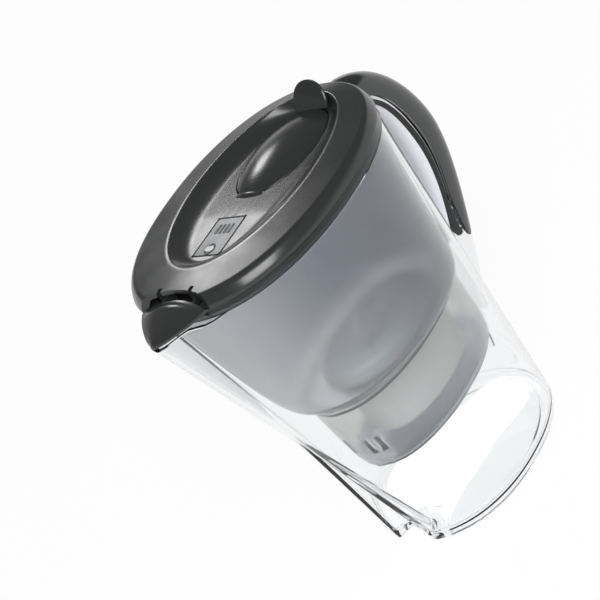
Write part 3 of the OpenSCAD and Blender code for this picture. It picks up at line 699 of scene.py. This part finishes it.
def makeLidShell():
    inset, wall, count = 2.0, lidShape["wall"], lidShape["count"]
    seam, middle = lidShape["seam"], lidShape["middle"]
    halfLong, halfWide = lidShape["half"]
    shares = [0.72, 0.6, 0.48, 0.36, 0.24, 0.12]
    rings = [floorRing(s, wall) for s in reversed(shares)]
    rings += [dishRing(q, wall) for q in (1, 0.8, 0.6, 0.4)]
    rings += [shoulderRing(s, inset) for s in (1, 0.8, 0.6, 0.4, 0.26, 0.2, 0.16)]
    rings += [ovalRing(middle, halfLong - inset, halfWide - inset, seam, count),
              ovalRing(middle, halfLong - 0.4, halfWide - 0.4, seam, count),
              ovalRing(middle, halfLong, halfWide, seam + 0.4, count)]
    rings += [shoulderRing(s, 0) for s in steps(0, lidShape["edgeShare"], 12) + steps(0.26, 0.965, 14)]
    rings += [dishRing(0, 0.22)] + [dishRing(q, 0) for q in [0.035] + steps(0.1, 1, 15)]   # an eased crest
    rings += [floorRing(s, 0) for s in [0.93, 0.86, 0.79] + shares]
    floorMiddle = lidShape["floor"][0]
    piece = skin("lid_shell_satin", (floorMiddle, 0, floorZ(floorMiddle) - wall), rings,
                 (floorMiddle, 0, floorZ(floorMiddle)))
    lugs = []
    hingeX, hingeZ = lidShape["spoutHinge"]
    fillX, fillZ = lidShape["fillHinge"]
    arm, half, armGap = lidShape["armY"], lidShape["armHalf"], lidShape["armGap"]
    for side in (-1, 1):
        for x, z, inside, outside, top, reach in (
                (hingeX, hingeZ, 9.4, arm - half - armGap, hingeZ + 6.2, 2.6),
                (hingeX, hingeZ, arm + half + armGap, 17.6, hingeZ + 6.2, 2.6),
                (fillX, fillZ, 11.4, 14.4, fillZ + 0.4, 3)):
            low, high = sorted((side * inside, side * outside))
            lugs.append(block("lug", (x - reach, low, z - 2.6), (x + reach, high, top)))
    combine(piece, lugs, "UNION")
    radius, front, lean = lidShape["spoutCut"]
    knuckle, memoX = lidShape["knuckle"][0], lidShape["memoX"]
    bore = lidShape["pin"] + lidShape["pinGap"]
    (flapLong, flapWide), gap = flapShape["half"], lidShape["flapGap"]
    memoLong, memoWide = lidShape["memoHalf"]
    below, above = lidShape["cutSpan"]
    mouth = [[(x, y, z) for x, y in circleOutline(front - radius, 0, radius + (z - hingeZ) * lean, 240)]
             for z in (below, 285)]
    fill = oval(flapShape["middle"], flapLong + gap, flapWide + gap, 128, 2)
    cuts = [prism("fill_cut", fill, below, above),
            turnedY("knuckle_cut", fillX, fillZ, knuckleProfile(gap)),
            block("web_cut", (fillX - 2.3, -knuckle - 0.4, below), (5, knuckle + 0.4, above)),
            block("memo_cut", (memoX - memoLong, -memoWide, below), (memoX + memoLong, memoWide, above)),
            skin("spout_cut", (front - radius, 0, below), mouth, (front - radius, 0, 285)),
            rodY("spout_bore", hingeX, hingeZ, bore, -20, 20),
            rodY("fill_bore", fillX, fillZ, bore, -14, 14)]
    for side in (-1, 1):
        low, high = side * arm - half - armGap, side * arm + half + armGap
        cuts.append(block("arm_cut", (-94, low, 235), (hingeX, high, above)))
    combine(piece, cuts, "DIFFERENCE")
    return finishPiece(piece, "lid", graphiteAbs, ["lid_shell"], 35)


def crownHeight(s):
    return flapShape["crown"] * (1 - s * s) ** 0.75


def flapRing(s, lift, inset):
    halfLong, halfWide = flapShape["half"]
    ring = oval(flapShape["middle"], (halfLong - inset) * s, (halfWide - inset) * s, flapShape["count"], 2)
    return [(x, y, floorZ(x) + lift) for x, y in ring]


def thumbTab():                                   # a rounded tab that leans back over the dish's rim
    radius, lean = flapShape["tabRadius"], math.radians(flapShape["tabLean"])
    rise, foot, (placeX, placeZ) = flapShape["tabRise"], flapShape["tabFoot"], flapShape["tabPlace"]
    start = math.asin((foot - rise) / radius)
    outline = [(radius * math.cos(a), rise + radius * math.sin(a)) for a in steps(start, math.pi - start, 48)]
    points = []
    for depth, shrink in ((-1.2, 0.6), (-0.7, 0.0), (0.7, 0.0), (1.2, 0.6)):
        for across, up in outline:
            scale = 1 - shrink / radius
            u, v = across * scale, foot + (up - foot) * scale
            points.append((placeX + depth * math.cos(lean) + v * math.sin(lean), u,
                           placeZ - depth * math.sin(lean) + v * math.cos(lean)))
    count = len(outline)
    faces = [tuple(reversed(range(count))), tuple(range(3 * count, 4 * count))]
    for k in range(3):
        for i in range(count):
            j = (i + 1) % count
            faces.append((k * count + i, k * count + j, (k + 1) * count + j, (k + 1) * count + i))
    return meshFrom("tab", points, faces)


def makeFillFlap():
    shares = [0.12, 0.25, 0.38, 0.5, 0.61, 0.71, 0.8, 0.87, 0.93, 0.97]
    under, foot = flapShape["under"], floorZ(lidShape["slope"][1])
    top = floorZ(flapShape["middle"]) + flapShape["crown"]
    rings = [flapRing(s, crownHeight(s) - 2, 2) for s in shares[1:-1]]
    rings += [flapRing(1, -under, 2), flapRing(1, -under, 0.3), flapRing(1, -under + 0.3, 0)]
    rings += [flapRing(s, crownHeight(s), 0) for s in [1, 0.995, 0.985] + shares[::-1]]
    piece = skin("fill_flap_crown", (flapShape["middle"], 0, top - 2.1), rings, (flapShape["middle"], 0, top))
    hingeX, hingeZ = lidShape["fillHinge"]
    knuckle = lidShape["knuckle"][0]
    cuts = [block("front_cut", (-9, -30, 230), (hingeX, 30, 260))]
    for side in (-1, 1):
        cuts.append(block("side_cut", (-9, side * 12 - 1.4, 230), (hingeX + 2.2, side * 12 + 1.4, 260)))
    combine(piece, cuts, "DIFFERENCE")
    parts = [turnedY("knuckle", hingeX, hingeZ, knuckleProfile(0)),
             block("web", (hingeX, -knuckle, hingeZ - 0.4), (hingeX + 6, knuckle, hingeZ + 1.8)),
             rodY("pins", hingeX, hingeZ, lidShape["pin"], -13.7, 13.7),
             block("tab_root", (65, -7, foot - 1.8), (71.3, 7, foot + 2.4)), thumbTab()]
    combine(piece, parts, "UNION")
    return finishPiece(piece, "fill_flap", graphiteAbs, ["fill_flap"], 35)


spoutShape = {"rear": -90.6, "tip": -121.5, "low": 239.0, "half": 27, "bow": 5.2, "crown": 5, "edge": 0.9,
              "rows": 44, "columns": 36}


def spoutRow(u):                                  # one section of the beak, 0 at the rear, 1 at the tip
    half = max(1.2, spoutShape["half"] * (1 - u ** 1.25) ** 0.8)
    columns = steps(-1, 1, spoutShape["columns"])

    def along(v):
        return mix(spoutShape["rear"] - spoutShape["bow"] * v * v, spoutShape["tip"], u)

    def top(v):
        rise = (spoutShape["crown"] * (1 - u) ** 0.8 + spoutShape["edge"]) * (1 - v * v)
        return mix(241, 238.6, u) + rise * mix(0.62, 1, smooth(u / 0.2))

    low = spoutShape["low"] - 2.2 * u * u
    return ([(along(v), half * v, top(v)) for v in columns]
            + [(along(v), half * v, low) for v in reversed(columns)])


def makeSpoutFlap():
    rows = [1 - (1 - t) ** 1.6 for t in steps(0, 1, spoutShape["rows"])]
    piece = skin("spout_flap_beak", (mix(spoutShape["rear"], spoutShape["tip"], 0.01), 0, 241),
                 [spoutRow(u) for u in rows], (spoutShape["tip"], 0, 238.3))
    hingeX, hingeZ = lidShape["spoutHinge"]
    arm, half = lidShape["armY"], lidShape["armHalf"]
    parts = []
    for side in (-1, 1):
        angles = [math.radians(a) for a in range(-90, 91, 12)]
        outline = [(hingeX + 2 * math.cos(a), hingeZ + 2 * math.sin(a)) for a in angles]
        outline += [(-96, 241), (-97, 241), (-97, 239), (-96, 239)]
        count = len(outline)
        points = [(x, y, z) for y in (side * arm - half, side * arm + half) for x, z in outline]
        faces = [tuple(range(count)), tuple(reversed(range(count, 2 * count)))]
        faces += [(i, count + i, count + (i + 1) % count, (i + 1) % count) for i in range(count)]
        parts.append(meshFrom("arm", points, faces))
        parts.append(rodY("pin", hingeX, hingeZ, lidShape["pin"], side * arm - 4, side * arm + 4))
    combine(piece, parts, "UNION")
    return finishPiece(piece, "spout_flap", graphiteAbs, ["spout_flap"], 35)


makeLidShell()
makeFillFlap()
makeSpoutFlap()
print("lid made")


def makeHandleFace():                             # a thin pale skin on the side that faces the jug, a painted reflection
    arc = 14
    last = handleShape["topStations"] + handleShape["lowStations"]
    rings = []
    for k in steps(0.8, last - 1.4, 60):
        turns = steps(math.radians(128), math.radians(232), arc)
        rings.append([handlePoint(bowed(k, a), a, -0.06) for a in turns]
                     + [handlePoint(bowed(k, a), a, 0.3) for a in reversed(turns)])
    ends = [sum(ring, Vector()) / len(ring) for ring in (rings[0], rings[-1])]
    piece = skin("handle_face_painted_sheen", ends[0], rings, ends[1])
    return finishPiece(piece, "jug", paintedSheenSan, angle=40)


makeHandleFace()


reminderShape = {
    "middle": -40.0, "half": (16.0, 12.0), "corner": 3.0, "rim": 1.0, "rimLow": 244.3, "rimTop": 245.25,
    "bars": 4, "barSize": (7.4, 1.7, 0.3), "barPitch": 3.6, "barMiddle": (-33.8, 0.0, 245.0),
    "button": (-50.5, 3.5, 2.7), "buttonLow": 244.6, "buttonTop": 245.2,
}


def roundedOutline(x, y, half, corner, count=8):
    outline = []
    for quarter, (signX, signY) in enumerate(((1, 1), (-1, 1), (-1, -1), (1, -1))):
        for a in steps(quarter * 90, quarter * 90 + 90, count):
            outline.append((x + signX * (half[0] - corner) + corner * math.cos(math.radians(a)),
                            y + signY * (half[1] - corner) + corner * math.sin(math.radians(a))))
    return outline


def loopSkin(name, rings):                        # a closed frame: the last ring meets the first
    count = len(rings[0])
    faces = []
    for k in range(len(rings)):
        low, high = k * count, (k + 1) % len(rings) * count
        faces += [(low + i, low + (i + 1) % count, high + (i + 1) % count, high + i) for i in range(count)]
    return meshFrom(name, [p for ring in rings for p in ring], faces)


def newTree(name, sizes):                         # a geometry tree with one named input for each size
    tree = bpy.data.node_groups.new(name, "GeometryNodeTree")
    tree.interface.new_socket("Mesh", in_out="OUTPUT", socket_type="NodeSocketGeometry")
    kinds = {int: "NodeSocketInt", float: "NodeSocketFloat", tuple: "NodeSocketVector"}
    for key, value in sizes.items():
        tree.interface.new_socket(key, in_out="INPUT", socket_type=kinds[type(value)])
    tree.interface.new_socket("Material", in_out="INPUT", socket_type="NodeSocketMaterial")
    return tree, addNode(tree, "NodeGroupInput").outputs


def closeTree(tree, geometry, sizes):
    real = addNode(tree, "GeometryNodeRealizeInstances", {"Geometry": geometry})
    dressed = addNode(tree, "GeometryNodeSetMaterial", {"Geometry": real.outputs[0],
                                                        "Material": sizes["Material"]})
    addNode(tree, "NodeGroupOutput", {"Mesh": dressed.outputs[0]})


def grow(name, tree, values, material):           # runs a tree and keeps its plain mesh
    piece = bpy.data.objects.new(name, bpy.data.meshes.new(name))
    bpy.context.scene.collection.objects.link(piece)
    change = piece.modifiers.new("shape", "NODES")
    change.node_group = tree
    given = dict(values, Material=material)
    for item in tree.interface.items_tree:
        if item.in_out == "INPUT":
            change[item.identifier] = given[item.name]
    return flatten(piece)


def barTree(values):                              # a row of equal bars
    tree, sizes = newTree("display_bars", values)
    row = addNode(tree, "GeometryNodeMeshLine", {"Count": sizes["Count"], "Start Location": sizes["Start"],
                                                 "Offset": sizes["Step"]})
    bar = addNode(tree, "GeometryNodeMeshCube", {"Size": sizes["Size"]})
    placed = addNode(tree, "GeometryNodeInstanceOnPoints", {"Points": row.outputs[0],
                                                            "Instance": bar.outputs[0]})
    closeTree(tree, placed.outputs[0], sizes)
    return tree


def placeMm(x, y, z):
    return ((x + frameShift) * mm, y * mm, z * mm)


def makeReminder():
    shape = reminderShape
    half, corner, rim = shape["half"], shape["corner"], shape["rim"]
    # a raised matt dark rim round the window: its own dark colour, and a painted shadow line where the gap's
    # shade falls
    rings = []
    for draw, z in ((0, shape["rimLow"]), (0, shape["rimTop"] - 0.3), (0.3, shape["rimTop"]),
                    (rim - 0.3, shape["rimTop"]), (rim, shape["rimTop"] - 0.3), (rim, shape["rimLow"])):
        outline = roundedOutline(shape["middle"], 0, (half[0] - draw, half[1] - draw), corner - draw)
        rings.append([(x, y, z) for x, y in outline])
    finishPiece(loopSkin("reminder_rim", rings), "lid", innerAbs)
    x, halfLong, halfWide = shape["button"]
    low, high = shape["buttonLow"], shape["buttonTop"]
    rings = [ovalRing(x, halfLong + grown, halfWide + grown, z, 48, 2)
             for grown, z in ((0.9, low), (0.9, high), (0.2, high), (0.2, low))]
    finishPiece(loopSkin("button_ring", rings), "lid", innerAbs)
    x, y, z = shape["barMiddle"]
    start = y - shape["barPitch"] * (shape["bars"] - 1) / 2
    values = {"Count": shape["bars"], "Size": tuple(v * mm for v in shape["barSize"]),
              "Start": placeMm(x, start, z), "Step": (0.0, shape["barPitch"] * mm, 0.0)}
    finishPiece(grow("display_bars", barTree(values), values, displayInk), "lid", displayInk)


makeReminder()
print("reminder made")


screenShape = {
    "top": {"half": (43.8, 28.8), "low": 115.1, "high": 115.7},
    "bottom": {"half": (40.0, 25.0), "low": 69.7, "high": 70.3},
    "rim": 1.6, "pitch": 1.9, "strand": 0.22,         # drawn coarser than the real weave, so that it shows
}
granuleShape = {"half": (42.6, 27.6), "level": 113.9, "spacing": 2.0, "radius": 1.05, "seed": 7}


def weaveTree(values):                            # one set of strands, cut off by an oval rim
    tree, sizes = newTree("screen_strands", values)
    row = addNode(tree, "GeometryNodeMeshLine", {"Count": sizes["Count"], "Start Location": sizes["Start"],
                                                 "Offset": sizes["Step"]})
    place = addNode(tree, "GeometryNodeInputPosition")
    away = addNode(tree, "ShaderNodeVectorMath", {0: place.outputs[0], 1: sizes["Middle"]},
                   operation="SUBTRACT")
    share = addNode(tree, "ShaderNodeVectorMath", {0: away.outputs[0], 1: sizes["Half"]}, operation="DIVIDE")
    flat = addNode(tree, "ShaderNodeVectorMath", {0: share.outputs[0], 1: (1, 1, 0)}, operation="MULTIPLY")
    square = addNode(tree, "ShaderNodeVectorMath", {0: flat.outputs[0], 1: flat.outputs[0]},
                     operation="DOT_PRODUCT")
    rest = addNode(tree, "ShaderNodeMath", {0: 1.0, 1: square.outputs["Value"]}, operation="SUBTRACT",
                   use_clamp=True)
    length = addNode(tree, "ShaderNodeMath", {0: rest.outputs[0]}, operation="SQRT")
    grown = addNode(tree, "ShaderNodeVectorMath", {0: sizes["Along"], "Scale": length.outputs[0]},
                    operation="SCALE")
    scale = addNode(tree, "ShaderNodeVectorMath", {0: grown.outputs[0], 1: sizes["Across"]}, operation="ADD")
    strand = addNode(tree, "GeometryNodeMeshCube", {"Size": (1, 1, 1)})
    placed = addNode(tree, "GeometryNodeInstanceOnPoints", {
        "Points": row.outputs[0], "Instance": strand.outputs[0], "Scale": scale.outputs[0]})
    closeTree(tree, placed.outputs[0], sizes)
    return tree


def granuleTree(values):                          # a level layer of granules, evenly strewn
    tree, sizes = newTree("granule_layer", values)
    disc = addNode(tree, "GeometryNodeMeshCircle", {"Vertices": 64, "Radius": 1.0}, fill_type="NGON")
    layer = addNode(tree, "GeometryNodeTransform", {
        "Geometry": disc.outputs[0], "Translation": sizes["Place"], "Scale": sizes["Half"]})
    strewn = addNode(tree, "GeometryNodeDistributePointsOnFaces", {
        "Mesh": layer.outputs[0], "Distance Min": sizes["Spacing"], "Density Max": 900000.0,
        "Seed": sizes["Seed"]}, distribute_method="POISSON")
    stone = addNode(tree, "GeometryNodeMeshIcoSphere", {"Radius": sizes["Radius"], "Subdivisions": 1})
    turn = addNode(tree, "FunctionNodeRandomValue", {"Max": (6.28, 6.28, 6.28), "Seed": sizes["Seed"]},
                   data_type="FLOAT_VECTOR")
    size = addNode(tree, "FunctionNodeRandomValue", {"Min": (0.7, 0.7, 0.7), "Max": (1.15, 1.15, 1.0),
                                                     "Seed": sizes["Seed"]}, data_type="FLOAT_VECTOR")
    placed = addNode(tree, "GeometryNodeInstanceOnPoints", {
        "Points": strewn.outputs["Points"], "Instance": stone.outputs[0], "Rotation": turn.outputs[0],
        "Scale": size.outputs[0]})
    closeTree(tree, placed.outputs[0], sizes)
    return tree


def joined(name, pieces):                         # several plain meshes as one
    whole = bmesh.new()
    for piece in pieces:
        whole.from_mesh(piece.data)
    mesh = bpy.data.meshes.new(name)
    whole.to_mesh(mesh)
    whole.free()
    for piece in pieces:
        bpy.data.objects.remove(piece)
    result = bpy.data.objects.new(name, mesh)
    bpy.context.scene.collection.objects.link(result)
    return result


def makeScreen(which):
    shape, pitch, strand = screenShape[which], screenShape["pitch"], screenShape["strand"]
    (halfLong, halfWide), rim = shape["half"], screenShape["rim"]
    low, high = shape["low"], shape["high"]
    rings = [ovalRing(wellMiddle, halfLong - draw, halfWide - draw, z, 96, 2)
             for draw, z in ((0, low), (0, high), (rim, high), (rim, low))]
    pieces = [loopSkin("screen_rim", rings)]
    middle = (low + high) / 2
    inner = (halfLong - rim / 2, halfWide - rim / 2)
    for axis in (0, 1):                           # strands along X, then along Y just above
        other = 1 - axis
        count = int(2 * inner[other] / pitch)
        step, along, across = [0.0] * 3, [0.0] * 3, [strand * mm] * 3
        step[other] = pitch * mm
        along[axis], across[axis] = 2 * inner[axis] * mm, 0.0
        start = list(placeMm(wellMiddle, 0, middle + (axis - 0.5) * strand))
        start[other] -= step[other] * (count - 1) / 2
        values = {"Count": count, "Start": tuple(start), "Step": tuple(step), "Along": tuple(along),
                  "Across": tuple(across), "Middle": placeMm(wellMiddle, 0, 0),
                  "Half": (inner[0] * mm, inner[1] * mm, 1.0)}
        pieces.append(grow("strands", weaveTree(values), values, whitePolypropylene))
    finishPiece(joined(which + "_screen_woven", pieces), "cartridge", whitePolypropylene,
                [which + "_screen"])


def makeGranules():
    shape = granuleShape
    halfLong, halfWide = shape["half"]
    values = {"Place": placeMm(wellMiddle, 0, shape["level"]), "Half": (halfLong * mm, halfWide * mm, 1.0),
              "Spacing": shape["spacing"] * mm, "Radius": shape["radius"] * mm, "Seed": shape["seed"]}
    piece = grow("granules", granuleTree(values), values, granuleMix)
    finishPiece(piece, "cartridge", granuleMix, angle=1)


makeScreen("top")
makeScreen("bottom")
makeGranules()
print("cartridge made")


# the nodes that stay as packed only get a finish
nodeFinish = {
    "cartridge_seat": smokySan, "cartridge_cup": whitePolypropylene, "cartridge_seal": siliconeSeal,
    "cartridge_cap": whitePolypropylene, "pull_ring": whitePolypropylene, "filter_media": granuleMix,
    "lid_frame": innerAbs,
    "memo_case": innerAbs, "memo_battery": nickelSteel, "memo_contact": nickelSteel,
    "memo_board": solderMask, "memo_display": displayGlass, "memo_window": windowPlastic,
    "memo_button": buttonPlastic,
}
for nodeName, material in nodeFinish.items():
    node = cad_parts[nodeName]
    node.data.materials.clear()
    node.data.materials.append(material)


stageLook = {
    "floorSize": 14.0, "ambient": 0.58, "glow": 0.9,
    "overhead": 0.15, "horizon": (0.12, 0.26),        # reflections see a dark ceiling over a white horizon
}


def makeFloor(look):
    half = look["floorSize"] / 2
    mesh = bpy.data.meshes.new("floor")
    corners = [(-half, -half, 0), (half, -half, 0), (half, half, 0), (-half, half, 0)]
    mesh.from_pydata(corners, [], [(0, 1, 2, 3)])
    floor = bpy.data.objects.new("floor", mesh)
    bpy.context.scene.collection.objects.link(floor)
    material, tree = newMaterial("floor_white_paper")
    lit = addNode(tree, "ShaderNodeBsdfDiffuse", {"Color": hexColour("#f4f4f4")})
    glow = addNode(tree, "ShaderNodeEmission", {"Color": (1, 1, 1, 1), "Strength": 1.0})
    path = addNode(tree, "ShaderNodeLightPath")
    seen = path.outputs["Is Camera Ray"]
    for kind in ("Is Glossy Ray", "Is Transmission Ray"):
        either = addNode(tree, "ShaderNodeMath", {0: seen, 1: path.outputs[kind]}, operation="MAXIMUM")
        seen = either.outputs[0]
    share = addNode(tree, "ShaderNodeMath", {0: seen, 1: look["glow"]}, operation="MULTIPLY").outputs[0]
    both = addNode(tree, "ShaderNodeMixShader", {0: share, 1: lit.outputs[0], 2: glow.outputs[0]})
    out = addNode(tree, "ShaderNodeOutputMaterial")
    tree.links.new(both.outputs[0], out.inputs["Surface"])
    mesh.materials.append(material)


def makeWorld(look):
    world = bpy.data.worlds.new("studio")
    bpy.context.scene.world = world
    world.use_nodes = True
    tree = world.node_tree
    tree.nodes.clear()
    path = addNode(tree, "ShaderNodeLightPath")
    place = addNode(tree, "ShaderNodeTexCoord")
    axes = addNode(tree, "ShaderNodeSeparateXYZ", {"Vector": place.outputs["Generated"]})
    low, high = look["horizon"]
    mirrored = addNode(tree, "ShaderNodeMapRange", {
        "Value": axes.outputs["Z"], "From Min": low, "From Max": high,
        "To Min": 1.0, "To Max": look["overhead"]})
    strength = addNode(tree, "ShaderNodeMapRange", {
        "Value": path.outputs["Is Glossy Ray"],
        "To Min": look["ambient"], "To Max": mirrored.outputs["Result"]})
    through = addNode(tree, "ShaderNodeMath", {0: path.outputs["Is Camera Ray"],
                                               1: path.outputs["Is Transmission Ray"]}, operation="MAXIMUM")
    strength = addNode(tree, "ShaderNodeMapRange", {"Value": through.outputs[0], "To Max": 1.0,
                                                    "To Min": strength.outputs["Result"]})
    light = addNode(tree, "ShaderNodeBackground", {
        "Color": (1, 1, 1, 1), "Strength": strength.outputs["Result"]})
    out = addNode(tree, "ShaderNodeOutputWorld")
    tree.links.new(light.outputs[0], out.inputs["Surface"])


softboxes = {
    "key": {"place": (-0.9, -1.1, 1.3), "size": (0.9, 0.9), "watts": 25, "roll": 0},
    "rear": {"place": (0.71, 1.16, 1.08), "size": (0.4, 0.24), "watts": 2.8, "roll": 52},
}


def makeSoftbox(name, box):
    light = bpy.data.lights.new(name, "AREA")
    light.shape = "RECTANGLE"
    light.size, light.size_y = box["size"]
    light.energy = box["watts"]
    lamp = bpy.data.objects.new(name, light)
    bpy.context.scene.collection.objects.link(lamp)
    lamp.location = box["place"]
    lamp.visible_camera = False
    lamp.rotation_mode = "QUATERNION"
    turn = Quaternion((0, 0, 1), math.radians(box["roll"]))
    lamp.rotation_quaternion = (Vector((0, 0, 0.2)) - lamp.location).to_track_quat("-Z", "Y") @ turn


makeFloor(stageLook)
makeWorld(stageLook)
for boxName, box in softboxes.items():
    makeSoftbox(boxName, box)
bpy.context.scene.view_settings.view_transform = "Standard"
print("stage and light set")
